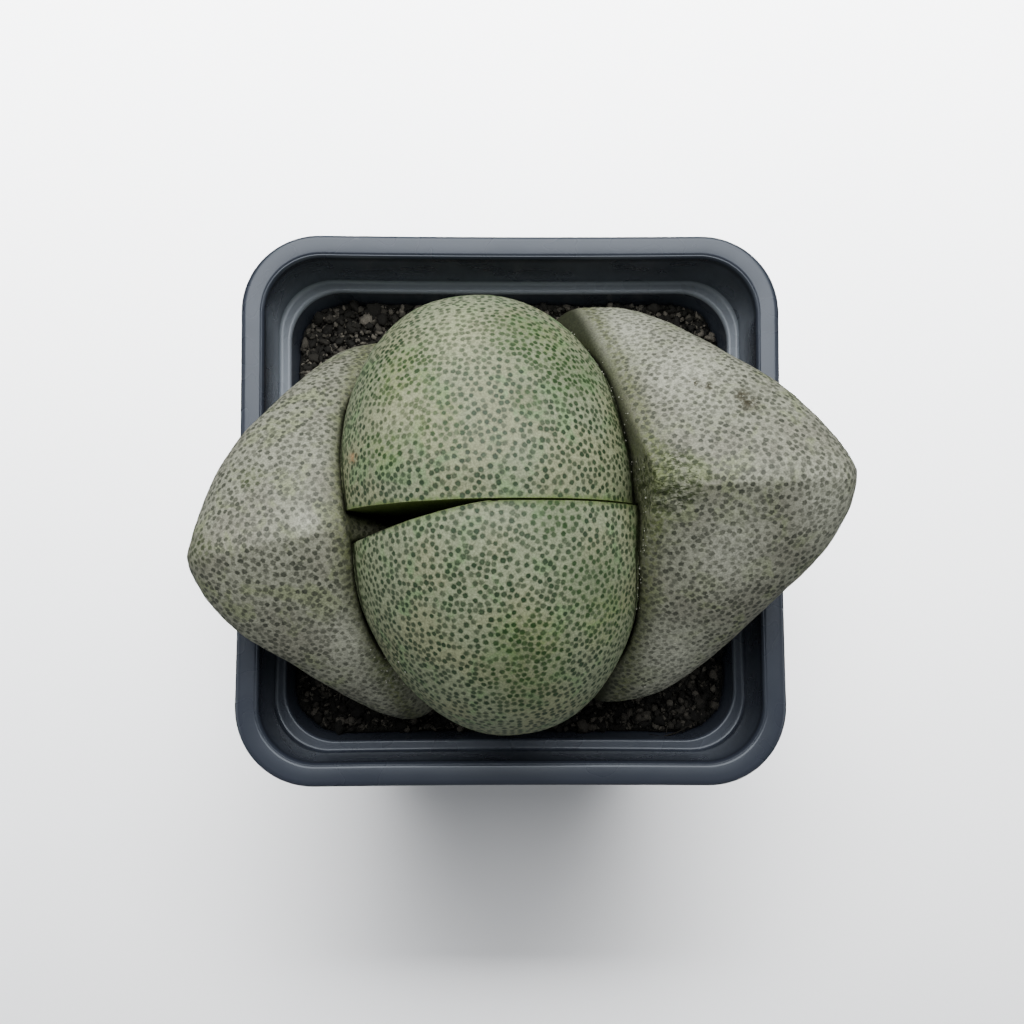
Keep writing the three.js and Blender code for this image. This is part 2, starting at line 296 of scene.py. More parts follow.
def rgb(red, green, blue):
    # An on-screen colour in 0 to 255 as the linear colour that a shader takes
    def linear(v):
        v = v / 255.0
        return v / 12.92 if v <= 0.04045 else ((v + 0.055) / 1.055) ** 2.4
    return (linear(red), linear(green), linear(blue), 1.0)


# The leaves. Each one is a stack of level slices: a flat inner face and a bulging back ending in a chin.
# faceX and faceY are the middle of the face's upper edge; turns are in degrees from +X.

leafBase = 38.0
oldLeaf = dict(lean=0.172, gape=0.0, widthTaper=1.3, widthBase=0.42, depthArch=2.0, depthBase=0.25)
youngLeaf = dict(
    top=88.0, lean=0.0, chinRise=0.0, faceDepth=0.08, faceSwell=(0.0, 0.0),
    widthLevel=68.0, widthArch=2.1, widthTaper=1.25, widthBase=0.38,
    depthLevel=68.0, depthArch=2.0, depthTaper=1.3, depthBase=0.25, flankNearChin=(2.1, 2.3))
leaves = {
    "outer_leaf_right": dict(
        oldLeaf, faceX=15.4, faceY=1.0, top=84.0, faceTurn=4.0, chinTurn=3.5,
        chinRise=5.0, faceDepth=0.4, faceSwell=(7.0, 7.5),
        halfWidth=(25.6, 25.2), widthLevel=59.0, widthArch=1.27,
        depth=25.6, depthLevel=71.0, depthTaper=1.12,
        flankNearChin=(1.86, 1.3), flankNearFace=(2.1, 2.65)),
    "outer_leaf_left": dict(
        oldLeaf, faceX=-19.2, faceY=-3.2, top=78.0, faceTurn=186.8, chinTurn=191.2,
        chinRise=3.0, faceDepth=0.8, faceSwell=(2.2, 4.4),
        halfWidth=(25.3, 24.7), widthLevel=53.0, widthArch=1.46,
        depth=20.8, depthLevel=67.5, depthTaper=0.9,
        flankNearChin=(1.1, 1.66), flankNearFace=(3.6, 2.2)),
    "inner_leaf_back": dict(
        youngLeaf, faceX=-2.85, faceY=-1.62, faceTurn=91.3, chinTurn=93.0, gape=0.0,
        halfWidth=(18.1, 17.7), depth=26.22, flankNearFace=(2.15, 2.3)),
    "inner_leaf_front": dict(
        youngLeaf, faceX=-2.1, faceY=-1.88, faceTurn=-88.7, chinTurn=-86.9, gape=3.9,
        halfWidth=(17.5, 18.2), depth=26.07, flankNearFace=(1.75, 1.9)),
}
fissure = {"start": 0.6, "length": 17.0, "power": 1.25}
leafMesh = {
    "rings": 170,
    "topCrowding": 1.9,  # how far the rings close up toward the top
    "backSteps": 230,
    "faceSteps": 70,
    "crowding": 0.85,  # how far the steps close up toward the sharp corners
    "voxel": 0.27,
    "smoothing": 4,
    "pressGap": 0.12,  # left between leaves that press on each other
}


def leafKind(name):
    return "old" if name.startswith("outer") else "young"


def sliceShare(z, level, top, arch, taper, base):
    if z > level:
        return (1.0 - ((z - level) / (top - level)) ** arch) ** (1.0 / arch)
    down = min((level - z) / (level - leafBase), 1.0)
    return base + (1.0 - base) * (1.0 - down ** taper) ** (1.0 / taper)


def reachOut(x, y, powerX, powerY):
    # How far each direction reaches to the curve x^powerX + y^powerY = 1
    low, high = np.full(len(x), 0.5), np.full(len(x), 2.0)
    for _ in range(40):
        middle = (low + high) / 2
        outside = (middle * x) ** powerX + (middle * y) ** powerY > 1
        high = np.where(outside, middle, high)
        low = np.where(outside, low, middle)
    return low


def slicePoints(leaf, z, grow):
    share = sliceShare(z, leaf["widthLevel"], leaf["top"], leaf["widthArch"], leaf["widthTaper"],
                       leaf["widthBase"])
    outShare = sliceShare(z, leaf["depthLevel"], leaf["top"], leaf["depthArch"], leaf["depthTaper"],
                          leaf["depthBase"])
    above = max((z - leaf["widthLevel"]) / (leaf["top"] - leaf["widthLevel"]), 0.0)
    foot = float(smoothStep(np.array(z), leafBase, leaf["widthLevel"]))
    rounding = math.sqrt(1.0 - above ** 6)
    widths = np.array(leaf["halfWidth"]) * share + grow

    even = np.arange(leafMesh["backSteps"]) / leafMesh["backSteps"]
    turn = np.pi * (even - leafMesh["crowding"] * np.sin(2 * np.pi * even) / (2 * np.pi))
    side = np.where(np.cos(turn) >= 0, 0, 1)
    x, y = np.abs(np.cos(turn)), np.sin(turn)
    k = reachOut(x, y, np.array(leaf["flankNearChin"])[side], np.array(leaf["flankNearFace"])[side])
    back = np.stack([np.sign(np.cos(turn)) * k * x * widths[side],
                     k * y * (leaf["depth"] * outShare + grow) - grow * (1 - y)], 1)

    across = -np.cos(np.pi * np.arange(leafMesh["faceSteps"]) / leafMesh["faceSteps"])
    side = np.where(across >= 0, 0, 1)
    swell = np.array(leaf["faceSwell"])[side] * foot * (1 - above) * across ** 2
    bulge = leaf["faceDepth"] * rounding + swell
    face = np.stack([across * widths[side],
                     -grow - bulge * np.sqrt(np.maximum(1 - np.abs(across) ** 6, 0))], 1)
    return np.vstack([back, face])


def fissureOpening(leaf, across):
    share = np.maximum((across - fissure["start"]) / fissure["length"], 0)
    return share ** fissure["power"] * leaf["gape"]


def placeSlice(leaf, flat, z):
    across, out = flat[:, 0], flat[:, 1]
    faceTurn, chinTurn = math.radians(leaf["faceTurn"]), math.radians(leaf["chinTurn"])
    back = (z - leaf["top"]) * leaf["lean"]
    whole = leaf["depth"] + leaf["faceDepth"]
    moved = out + fissureOpening(leaf, across) * (1 - (out + leaf["faceDepth"]) / whole)
    up = float(smoothStep(np.array(z), leafBase, leaf["depthLevel"]))
    return np.stack([
        leaf["faceX"] + back * math.cos(faceTurn) + across * math.sin(faceTurn) + moved * math.cos(chinTurn),
        leaf["faceY"] + back * math.sin(faceTurn) - across * math.cos(faceTurn) + moved * math.sin(chinTurn),
        z + moved / leaf["depth"] * leaf["chinRise"] * up,
    ], 1)


def leafSkin(name, grow=0.0):
    leaf = leaves[name]
    rings = leafMesh["rings"]
    loops = []
    for ring in range(rings):
        share = 1 - (1 - ring / rings) ** leafMesh["topCrowding"]
        z = leafBase + (leaf["top"] - leafBase) * share
        loop = placeSlice(leaf, slicePoints(leaf, z, grow), z)
        loop[:, 2] += grow * ring / rings - (grow if ring == 0 else 0)
        loops.append(loop)
    return loft(loops)


def leafCoordinates(leaf, points):
    # Where points lie on a leaf: across its face, and out from the face to the chin
    faceTurn, chinTurn = math.radians(leaf["faceTurn"]), math.radians(leaf["chinTurn"])
    x, y, z = points[:, 0] - leaf["faceX"], points[:, 1] - leaf["faceY"], points[:, 2]
    level = z.copy()
    for _ in range(4):
        back = (level - leaf["top"]) * leaf["lean"]
        px, py = x - back * math.cos(faceTurn), y - back * math.sin(faceTurn)
        spanned = math.cos(faceTurn - chinTurn)
        across = (px * math.sin(chinTurn) - py * math.cos(chinTurn)) / spanned
        out = (px * math.cos(faceTurn) + py * math.sin(faceTurn)) / spanned
        up = smoothStep(level, leafBase, leaf["depthLevel"])
        level = z - out / leaf["depth"] * leaf["chinRise"] * up
    return across, out - fissureOpening(leaf, across) * np.clip(1 - out / leaf["depth"], 0, 1), level


def nearPlan(points, place, radius):
    # 1 at this place seen from above, falling to 0 at the radius
    away = np.hypot(points[:, 0] - place[0], points[:, 1] - place[1])
    return 1 - smoothStep(away, 0, radius)


ridges = {
    "keelHeight": 0.8,  # a crest that runs from each old leaf's apex out to its chin
    "keelWidth": 3.2,
    "keelPlace": {"outer_leaf_right": 1.1, "outer_leaf_left": -0.9},
    "keelFacing": (0.25, 0.75),  # it rises where the skin turns upward
    "keelFromFace": (0.5, 5.0),
    "keelFromChin": (-0.5, 5.0),
    "lipDrop": {"inner_leaf_back": 0.6, "inner_leaf_front": 0.25},  # young leaves fall off toward the split
    "lipWidth": 2.4,
    "lipAbove": (60, 80),
    "seamDrop": 1.2,  # old leaves roll over toward the young ones that press on them
    "seamReach": 1.0,
    "seamAbove": (50, 58),
}
wrinkles = {
    "broad": 0.14,  # height of the slow swells over a leaf
    "broadSize": 9.0,
    "fine": 0.035,
    "fineSize": 1.6,
    "shares": {"old": (1.0, 1.2), "young": (0.6, 0.7)},  # of the broad and the fine height
    "creaseHeight": 0.4,  # of the crumpled patch on the big old leaf
    "creaseSize": 1.8,
    "creaseStretch": (0.55, 1.0, 1.0),
    "creaseLimit": 0.6,  # the folds are cut off flat beyond this
    "creasePlace": (16.9, 0.7),
    "creaseRadius": 6.0,
    "sunk": {  # the skin starts this far inside the leaf's outline, so that the swells stay within it
        "outer_leaf_right": 0.1, "outer_leaf_left": 0.06, "inner_leaf_back": 0.03, "inner_leaf_front": 0.03,
    },
}


def seamCloseness(name, points):
    # 1 where this leaf meets the pair that it presses on, falling away from there
    corners, faces = [], []
    for other in leaves:
        if leafKind(other) != leafKind(name):
            otherPoints, otherFaces = leafSkin(other)
            faces += [[v + sum(map(len, corners)) for v in face] for face in otherFaces]
            corners.append(otherPoints)
    tree = BVHTree.FromPolygons(np.vstack(corners).tolist(), faces)
    away = np.array([tree.find_nearest(Vector(point))[3] for point in points])
    return np.exp(-away / ridges["seamReach"])


def wrinkle(name, points, normals, closeness, seed):
    broadShare, fineShare = wrinkles["shares"][leafKind(name)]
    height = waves(points, wrinkles["broadSize"], seed) * wrinkles["broad"] * broadShare
    height += waves(points, wrinkles["fineSize"], seed + 5) * wrinkles["fine"] * fineShare
    if name == "outer_leaf_right":
        stretched = points * np.array(wrinkles["creaseStretch"])
        folds = 1 - 2 * np.abs(waves(stretched, wrinkles["creaseSize"], seed + 9))
        near = nearPlan(points, wrinkles["creasePlace"], wrinkles["creaseRadius"])
        folds = np.clip(folds, -wrinkles["creaseLimit"], wrinkles["creaseLimit"])
        height += folds * near * wrinkles["creaseHeight"]
    across, out, _ = leafCoordinates(leaves[name], points)
    if leafKind(name) == "old":
        crest = np.exp(-np.abs(across - ridges["keelPlace"][name]) / ridges["keelWidth"])
        facing = smoothStep(normals[:, 2], *ridges["keelFacing"]) * smoothStep(out, *ridges["keelFromFace"])
        facing *= smoothStep(leaves[name]["depth"] - out, *ridges["keelFromChin"])
        height += ridges["keelHeight"] * crest * facing
        drop = ridges["seamDrop"] * closeness * smoothStep(points[:, 2], *ridges["seamAbove"])
    else:
        lip = np.exp(-(np.maximum(out, 0) / ridges["lipWidth"]) ** 2)
        drop = ridges["lipDrop"][name] * (lip * smoothStep(points[:, 2], *ridges["lipAbove"]))
    moved = points + normals * (height - wrinkles["sunk"][name])[:, None]
    moved[:, 2] -= drop
    return moved


# The left leaf swells into the gape between the young pair
gapeSwell = {
    "leaf": "outer_leaf_left", "reach": 5.0, "middle": -5.4, "width": 4.5,
    "inward": (-24.0, -19.0),  # grows toward the young pair between these places
    "below": 76.5, "fade": 7.0, "above": (50.0, 60.0),
}


def swellIntoGape(points):
    look = gapeSwell
    aside = np.abs(points[:, 1] - look["middle"])
    inner = smoothStep(points[:, 0], *look["inward"]) * (1 - smoothStep(aside, 0, look["width"]))
    depth = smoothStep(look["below"] - points[:, 2], 0.0, look["fade"])
    depth = depth * smoothStep(points[:, 2], *look["above"])
    moved = points.copy()
    moved[:, 0] += look["reach"] * inner * depth
    return moved


def shapeLeaf(name, presses, seed):
    points, faces = leafSkin(name)
    if name == gapeSwell["leaf"]:
        points = swellIntoGape(points)
    raw = newObject(name + "_raw", points, faces, 1.0)
    cutters = []
    for other in presses:
        cutter = newObject(other + "_press", *leafSkin(other, leafMesh["pressGap"]), 1.0)
        cutInto(raw, cutter, "DIFFERENCE")
        cutters.append(cutter)
    if presses:
        even = raw.modifiers.new("even", "REMESH")
        even.mode = "VOXEL"
        even.voxel_size = leafMesh["voxel"]
        soft = raw.modifiers.new("soft", "SMOOTH")
        soft.factor = 0.5
        soft.iterations = leafMesh["smoothing"]
    mesh = mainIsland(bakeModifiers(raw))
    for cutter in cutters:
        bpy.data.objects.remove(cutter)
    points = vertexArray(mesh)
    closeness = seamCloseness(name, points)
    points = wrinkle(name, points, vertexArray(mesh, normals=True), closeness, seed)
    setVertices(mesh, points)
    setValues(mesh, "seamShade", closeness)
    return mesh, points


# Dots: scattered at random over the skin, never closer than the nearest, with some touching

dotLook = {
    "young": {"density": 1.32, "nearest": 0.6, "radius": (0.32, 0.41)},
    "old": {"density": 1.3, "nearest": 0.62, "radius": (0.31, 0.43)},
}
dotReach = {
    "lowest": 46,
    "edge": {  # dots start this far out from the face's edge, and below 0 they start behind it
        "outer_leaf_right": -3.5, "outer_leaf_left": -4.5, "inner_leaf_back": 0.28, "inner_leaf_front": 0.28,
    },
    "bareSide": 3.1,  # the broad side of the big leaf's inner face is bare up to this much farther out
    "bareFrom": (-5, 3),
    "triesEach": 12,
}


def scatterDots(middles, chances, count, nearest, rng):
    # Draws faces by area and keeps those that are far enough from the dots already there
    cells, dots = {}, []
    around = [(i, j, k) for i in (-1, 0, 1) for j in (-1, 0, 1) for k in (-1, 0, 1)]
    draws = rng.choice(len(middles), size=count * dotReach["triesEach"], p=chances / chances.sum())
    for index in draws:
        point = middles[index]
        cell = tuple(np.floor(point / nearest).astype(int))
        clear = True
        for step in around:
            for other in cells.get((cell[0] + step[0], cell[1] + step[1], cell[2] + step[2]), ()):
                away = point - other
                clear = clear and away @ away > nearest ** 2
        if clear:
            cells.setdefault(cell, []).append(point)
            dots.append(point)
            if len(dots) == count:
                break
    return np.array(dots)


def dotLeaf(name, mesh, seed):
    # Every face learns its two nearest dots, so that the finish can draw them round and sharp
    look = dotLook[leafKind(name)]
    rng = np.random.default_rng(seed)
    middles, areas = faceMiddles(mesh)
    across, out, _ = leafCoordinates(leaves[name], middles)
    edge = dotReach["edge"][name]
    if name == "outer_leaf_right":
        edge = edge + dotReach["bareSide"] * smoothStep(-across, *dotReach["bareFrom"])
    allowed = (out > edge) & (middles[:, 2] > dotReach["lowest"])
    count = int(look["density"] * areas[allowed].sum())
    dots = scatterDots(middles, areas * allowed, count, look["nearest"], rng)
    radii = rng.uniform(*look["radius"], len(dots))
    tones = rng.uniform(0, 1, len(dots)) ** 0.8
    tree = KDTree(len(dots))
    for i, dot in enumerate(dots):
        tree.insert(dot, i)
    tree.balance()
    pairs = np.array([[hit[1] for hit in tree.find_n(middle, 2)] for middle in middles])
    setFaceVectors(mesh, "dotA", dots[pairs[:, 0]] * mm)
    setFaceVectors(mesh, "dotB", dots[pairs[:, 1]] * mm)
    unused = np.zeros(len(pairs))
    setFaceVectors(mesh, "dotSizes", np.stack([*radii[pairs].T, unused], 1))
    setFaceVectors(mesh, "dotTones", np.stack([*tones[pairs].T, unused], 1))


leafPatches = {  # seen from above: places and radii, each kind only on skin above its height
    "deep": {  # here the young leaves' dots turn a deep green
        "above": 55,
        "inner_leaf_back": [((0.5, 17.5), 6.0), ((6.5, 13.0), 6.0), ((1.5, 9.0), 3.0)],
        "inner_leaf_front": [((1.0, -19.5), 8.0), ((8.5, -10.0), 6.0), ((4.0, -3.0), 5.0)],
    },
    # Pale patches are partly the skin's own paleness and partly painted light: a painted highlight by the
    # left leaf's ridge, and lightening on its shaded lower end and on the top of the back leaf
    "pale": {
        "above": 50,
        "outer_leaf_right": [((13.0, 20.0), 9.0), ((20.0, 14.0), 8.0), ((19.0, -19.0), 7.0),
                             ((34.0, -2.0), 6.0), ((24.0, -7.0), 7.0)],
        "outer_leaf_left": [((-13.5, -21.0), 9.0), ((-18.0, -17.0), 7.0), ((-23.0, -3.6), 2.4)],
        "inner_leaf_back": [((-6.0, 17.0), 8.0), ((-12.0, 8.0), 6.0)],
    },
    "crease": {
        "above": 70,
        "outer_leaf_right": [(wrinkles["creasePlace"], wrinkles["creaseRadius"])],
    },
    "scar": {
        "above": 60,
        "outer_leaf_right": [((26.0, 9.9), 2.2), ((25.6, 10.6), 1.5), ((20.5, 12.4), 1.2),
                             ((22.0, 11.9), 1.0)],
        "inner_leaf_back": [((-17.9, 3.7), 0.9)],
    },
    "greenPatch": {
        "above": 55,
        "outer_leaf_right": [((16.8, 1.0), 4.2), ((16.0, -3.5), 3.0), ((19.4, 0.9), 4.0), ((15.6, 4.5), 2.6)],
        "outer_leaf_left": [((-35.6, -6.4), 3.6), ((-29.8, 1.8), 2.4), ((-14.0, -20.0), 5.0),
                            ((-18.6, 6.0), 2.2)],
        "inner_leaf_back": [((-12.0, 12.0), 7.0), ((-8.0, 7.0), 6.0), ((-14.0, 4.0), 4.0),
                            ((3.0, 16.0), 6.0)],
        "inner_leaf_front": [((2.0, -17.0), 7.0), ((10.0, -14.0), 6.0)],
    },
}
rimBand = {  # the middle of the rim's band out from the face, and its width
    "old": (0.2, 1.3),
    "young": (0.1, 0.4),
    "lowShare": 0.6,  # young leaves are rim-coloured low down too
    "lowBelow": (-74, -60),
}
faceShade = {  # how deep behind the edge of the face its shade is full, and how strong it is
    "outer_leaf_right": (2.0, 1.0), "outer_leaf_left": (2.0, 0.3),
    "inner_leaf_back": (0.03, 1.0), "inner_leaf_front": (0.03, 1.0),
}


def patchTint(points, patches, lowest):
    # The strongest of these patches at each point, and none below the lowest height
    tint = np.zeros(len(points))
    for place, radius in patches:
        tint = np.maximum(tint, nearPlan(points, place, radius))
    return tint * (points[:, 2] > lowest)


def tintLeaf(name, mesh, points):
    # Tints that follow the leaf's own form: pale yellow-green rims, a dark inner face that is partly its own
    # deeper green and partly painted shade, and odd patches, some pale ones painted light
    _, out, _ = leafCoordinates(leaves[name], points)
    middle, width = rimBand[leafKind(name)]
    rim = np.exp(-((out - middle) / width) ** 2)
    if leafKind(name) == "young":
        rim = rim + rimBand["lowShare"] * smoothStep(-points[:, 2], *rimBand["lowBelow"])
    deep, strength = faceShade[name]
    for tint, patches in leafPatches.items():
        setValues(mesh, tint, patchTint(points, patches.get(name, []), patches["above"]))
    setValues(mesh, "rimTint", np.clip(rim, 0, 1))
    setValues(mesh, "innerFaceShade", smoothStep(-out, -0.1, deep) * strength)


skinLook = {
    "young": {
        "skin": rgb(140, 149, 119), "skinWarm": rgb(144, 149, 116), "skinGreen": rgb(126, 148, 107),
        "skinPaleAndLit": rgb(164, 168, 134), "seamShade": rgb(70, 84, 40), "seamShadeShare": 0.5, "line": rgb(50, 60, 24),
        "grooveShade": rgb(30, 36, 18), "grooveShadeFrom": (0.55, 0.88),
        "dot": rgb(29, 51, 27), "dotCore": rgb(43, 68, 39), "dotGreen": rgb(36, 68, 22), "dotShare": 1.0,
        "faint": 0.66,
        "rim": rgb(94, 112, 62), "green": rgb(124, 138, 74), "greenShare": 0.8, "inner": rgb(96, 112, 56),
        "scar": rgb(176, 140, 100), "grain": (0.76, 1.24), "roughness": 0.56, "soft": 0.5, "ragged": 0.5,
    },
    "old": {
        "skin": rgb(148, 150, 132), "skinWarm": rgb(139, 139, 123), "skinGreen": rgb(141, 147, 117),
        "skinPaleAndLit": rgb(184, 186, 168), "seamShade": rgb(58, 64, 34), "seamShadeShare": 0.75, "line": rgb(48, 60, 22),
        "grooveShade": rgb(26, 28, 17), "grooveShadeFrom": (0.43, 0.8),
        "dot": rgb(56, 60, 49), "dotCore": rgb(70, 74, 61), "dotGreen": rgb(46, 58, 24), "dotShare": 0.96,
        "faint": 0.48,
        "rim": rgb(104, 110, 74), "green": rgb(86, 100, 44), "greenShare": 0.5, "inner": rgb(46, 50, 32),
        "scar": rgb(50, 46, 26), "grain": (0.74, 1.26), "roughness": 0.62, "soft": 0.5, "ragged": 0.8,
    },
}


def drawDots(tree, place, look, grain):
    # Where the two nearest dots lie, how dark, and how far each point is in a dot's lighter core
    ragged = times(tree, maths(tree, "SUBTRACT", grain, 0.5), look["ragged"])
    sizes, tones = vectorParts(tree, "dotSizes"), vectorParts(tree, "dotTones")
    masks, cores = [], []
    for which, middleName in enumerate(("dotA", "dotB")):
        middle = addNode(tree, "ShaderNodeAttribute", attribute_name=middleName).outputs["Vector"]
        away = addNode(tree, "ShaderNodeVectorMath", {0: place, 1: middle}, operation="DISTANCE")
        edge = maths(tree, "DIVIDE", times(tree, away.outputs["Value"], 1 / mm), sizes[which])
        edge = maths(tree, "ADD", edge, ragged)
        share = spread(tree, tones[which], 0.0, 1.0, look["faint"], 1.0, False)
        masks.append(times(tree, spread(tree, edge, look["soft"], 1.15, 1.0, 0.0), share))
        strong = spread(tree, tones[which], 0.2, 0.7)
        cores.append(times(tree, spread(tree, edge, 0.1, 0.7, 1.0, 0.0), strong))
    return maths(tree, "MAXIMUM", *masks), maths(tree, "MAXIMUM", *cores)


def drawCreases(tree, place, cells):
    # Painted shade: thin dark lines along the folds of the crumpled patch
    folded = noiseOf(tree, stretchedPlace(tree, place, (0.35, 1.3, 1.0)), 1.25, 3.0, 0.55, 0.6)
    line = spread(tree, maths(tree, "ABSOLUTE", maths(tree, "SUBTRACT", folded, 0.5)), 0.016, 0.07, 1.0, 0.0)
    line = times(tree, line, spread(tree, attribute(tree, "crease"), 0.12, 0.6, 0.0, 0.95))
    return times(tree, line, spread(tree, cells, 0.42, 0.54, 0.3, 1.0))


def skinMaterial(kind):
    look = skinLook[kind]
    material, tree, place = newMaterial(kind + "_leaf_skin")

    broad = noiseOf(tree, place, 0.13, 3.0)
    cloud = noiseOf(tree, place, 0.3, 4.0, 0.6, 0.6)
    cells = noiseOf(tree, place, 1.6, 4.0, 0.7)
    grain = noiseOf(tree, place, 4.2, 3.0, 0.7)

    skin = mixColour(tree, spread(tree, broad, 0.42, 0.6), look["skin"], look["skinWarm"])
    skin = mixColour(tree, spread(tree, cloud, 0.5, 0.66), skin, look["skinGreen"])
    # Pale patches: partly pale skin, partly painted light
    skin = mixColour(tree, times(tree, attribute(tree, "pale"), 0.8), skin, look["skinPaleAndLit"])
    light = spread(tree, grain, 0.34, 0.66, *look["grain"])
    light = times(tree, light, spread(tree, cells, 0.3, 0.7, 0.86, 1.13))
    green = times(tree, attribute(tree, "greenPatch"), spread(tree, cells, 0.38, 0.6, 0.1, 0.9))
    if kind == "young":
        green = times(tree, green, spread(tree, cloud, 0.34, 0.56, 0.1, 0.7))
    rim = times(tree, attribute(tree, "rimTint"), spread(tree, cells, 0.35, 0.6, 0.25, 0.9))
    skin = mixColour(tree, rim, skin, look["rim"])
    skin = mixColour(tree, times(tree, green, look["greenShare"]), skin, look["green"])
    deepened = times(tree, attribute(tree, "deep"), spread(tree, cells, 0.35, 0.62, 0.08, 0.42))
    skin = mixColour(tree, deepened, skin, look["dotGreen"])

    dotMask, core = drawDots(tree, place, look, grain)
    dot = mixColour(tree, core, look["dot"], look["dotCore"])
    deep = maths(tree, "MAXIMUM", attribute(tree, "deep"), attribute(tree, "greenPatch"))
    dot = mixColour(tree, spread(tree, deep, 0.1, 0.7, 0.0, 0.85), dot, look["dotGreen"])
    paled = spread(tree, attribute(tree, "pale"), 0.0, 1.0, look["dotShare"], look["dotShare"] * 0.7, False)
    colour = mixColour(tree, times(tree, dotMask, paled), skin, dot)

    # The inner faces are painted darker: partly their own deeper green, partly painted shade deep in the gape
    # and the fissure
    inner = attribute(tree, "innerFaceShade")
    colour = mixColour(tree, inner, colour, look["inner"])
    scarMask = times(tree, attribute(tree, "scar"), spread(tree, cells, 0.42, 0.54))
    colour = mixColour(tree, scarMask, colour, look["scar"])
    # Painted shade where the leaf pairs meet: a darker olive band near the seam, partly the inner faces' own
    # olive, and the darkest painted shade in the groove itself
    seamShade = attribute(tree, "seamShade")
    colour = mixColour(tree, times(tree, seamShade, look["seamShadeShare"]), colour, look["seamShade"])
    colour = mixColour(tree, spread(tree, seamShade, *look["grooveShadeFrom"], 0.0, 0.9), colour, look["grooveShade"])
    # Painted shade in the folds of the crumpled patch
    line = drawCreases(tree, place, cells)
    colour = mixColour(tree, line, colour, look["line"])
    colour = dimmed(tree, colour, light)

    height = maths(tree, "ADD", times(tree, cells, 0.5), times(tree, grain, 0.5))
    height = maths(tree, "SUBTRACT", height, times(tree, dotMask, 0.2))
    height = maths(tree, "SUBTRACT", height, times(tree, line, 0.6))
    normal = bump(tree, height, 0.5, 0.16)
    roughness = spread(tree, dotMask, 0.0, 1.0, look["roughness"], look["roughness"] - 0.1, False)
    finishMaterial(tree, colour, roughness, normal, Specular_IOR_Level=0.4)
    return material


def buildLeaves():
    materials = {"young": skinMaterial("young"), "old": skinMaterial("old")}
    built = []
    jobs = [
        ("inner_leaf_back", [], 3),
        ("inner_leaf_front", [], 4),
        ("outer_leaf_left", ["inner_leaf_back", "inner_leaf_front"], 5),
        ("outer_leaf_right", ["inner_leaf_back", "inner_leaf_front"], 6),
    ]
    for name, presses, seed in jobs:
        mesh, points = shapeLeaf(name, presses, seed)
        dotLeaf(name, mesh, seed)
        tintLeaf(name, mesh, points)
        kind = leafKind(name)
        leafPiece = newPiece(name + "_skin", mesh, points, materials[kind])
        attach(leafPiece, "root")
        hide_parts(name)
        built.append(leafPiece)
        print("leaf", name, len(mesh.vertices), "points")
    return built


leafPieces = buildLeaves()


# The pot: a square nursery pot with a turned lip, a collar and a stacking ledge

potSize = {
    "halfX": 34.75, "halfY": 35.249, "height": 60.0, "cornerRadius": 10.2, "sideBow": 0.28,
    "rimWidth": 3.0, "lipDepth": 2.4, "lipOverhang": 1.2, "collarDepth": 10.8, "ledgeWidth": 1.5,
    "ledgeDip": 0.2,  # the ledge falls toward the collar wall by this much
    "wall": 1.2, "baseHalf": 25.4, "floorTop": 3.4, "floorThickness": 1.4, "footWidth": 2.2,
    "footLength": 10.0, "footInset": 2.0, "footTop": 2.6, "footEdge": 0.8,
    "drainRadius": 2.6, "drainSpacing": 11.5,
    "collarInset": 3.0,  # up to here the corners tighten by the first share of the inset, then by the second
    "cornerTightening": (0.9, 0.25),
    "cornerSteps": 22, "sideSteps": 22, "arcSteps": 5,
}
ledgeZ = potSize["height"] - potSize["collarDepth"]
ledgeInset = potSize["rimWidth"] + 0.15 + potSize["ledgeWidth"]
floorInset = potSize["halfX"] - potSize["baseHalf"] + potSize["wall"]


def potLoop(inset, z):
    halfX, halfY = potSize["halfX"] - inset, potSize["halfY"] - inset
    shallow = min(inset, potSize["collarInset"])
    near, far = potSize["cornerTightening"]
    radius = potSize["cornerRadius"] - near * shallow - far * (inset - shallow)
    points = []
    for signX, signY, start in ((1, 1, 0), (-1, 1, 90), (-1, -1, 180), (1, -1, 270)):
        turns = np.radians(start + 90 * np.arange(potSize["cornerSteps"] + 1) / potSize["cornerSteps"])
        arc = np.stack([signX * (halfX - radius) + radius * np.cos(turns),
                        signY * (halfY - radius) + radius * np.sin(turns)], 1)
        points.append(arc)
    loop = []
    for corner in range(4):
        first, after = points[corner], points[(corner + 1) % 4][0]
        steps = np.arange(1, potSize["sideSteps"] + 1)[:, None] / (potSize["sideSteps"] + 1)
        loop.append(first)
        loop.append(first[-1] + (after - first[-1]) * steps)
    loop = np.vstack(loop)
    bowX = potSize["sideBow"] * (1 - (loop[:, 1] / halfY) ** 2)
    bowY = potSize["sideBow"] * (1 - (loop[:, 0] / halfX) ** 2)
    return np.stack([loop[:, 0] * (1 - bowX / halfX), loop[:, 1] * (1 - bowY / halfY),
                     np.full(len(loop), z)], 1)


def roundedProfile(corners):
    # A chain of (inset, z, rounding): each corner becomes a short arc of that size
    path = []
    for i, (inset, z, radius) in enumerate(corners):
        here = np.array([inset, z])
        if radius == 0 or i in (0, len(corners) - 1):
            path.append(here)
            continue
        before = np.array(corners[i - 1][:2]) - here
        after = np.array(corners[i + 1][:2]) - here
        start = here + before / np.linalg.norm(before) * radius
        end = here + after / np.linalg.norm(after) * radius
        for step in range(potSize["arcSteps"] + 1):
            share = step / potSize["arcSteps"]
            path.append((1 - share) ** 2 * start + 2 * share * (1 - share) * here + share ** 2 * end)
    return path


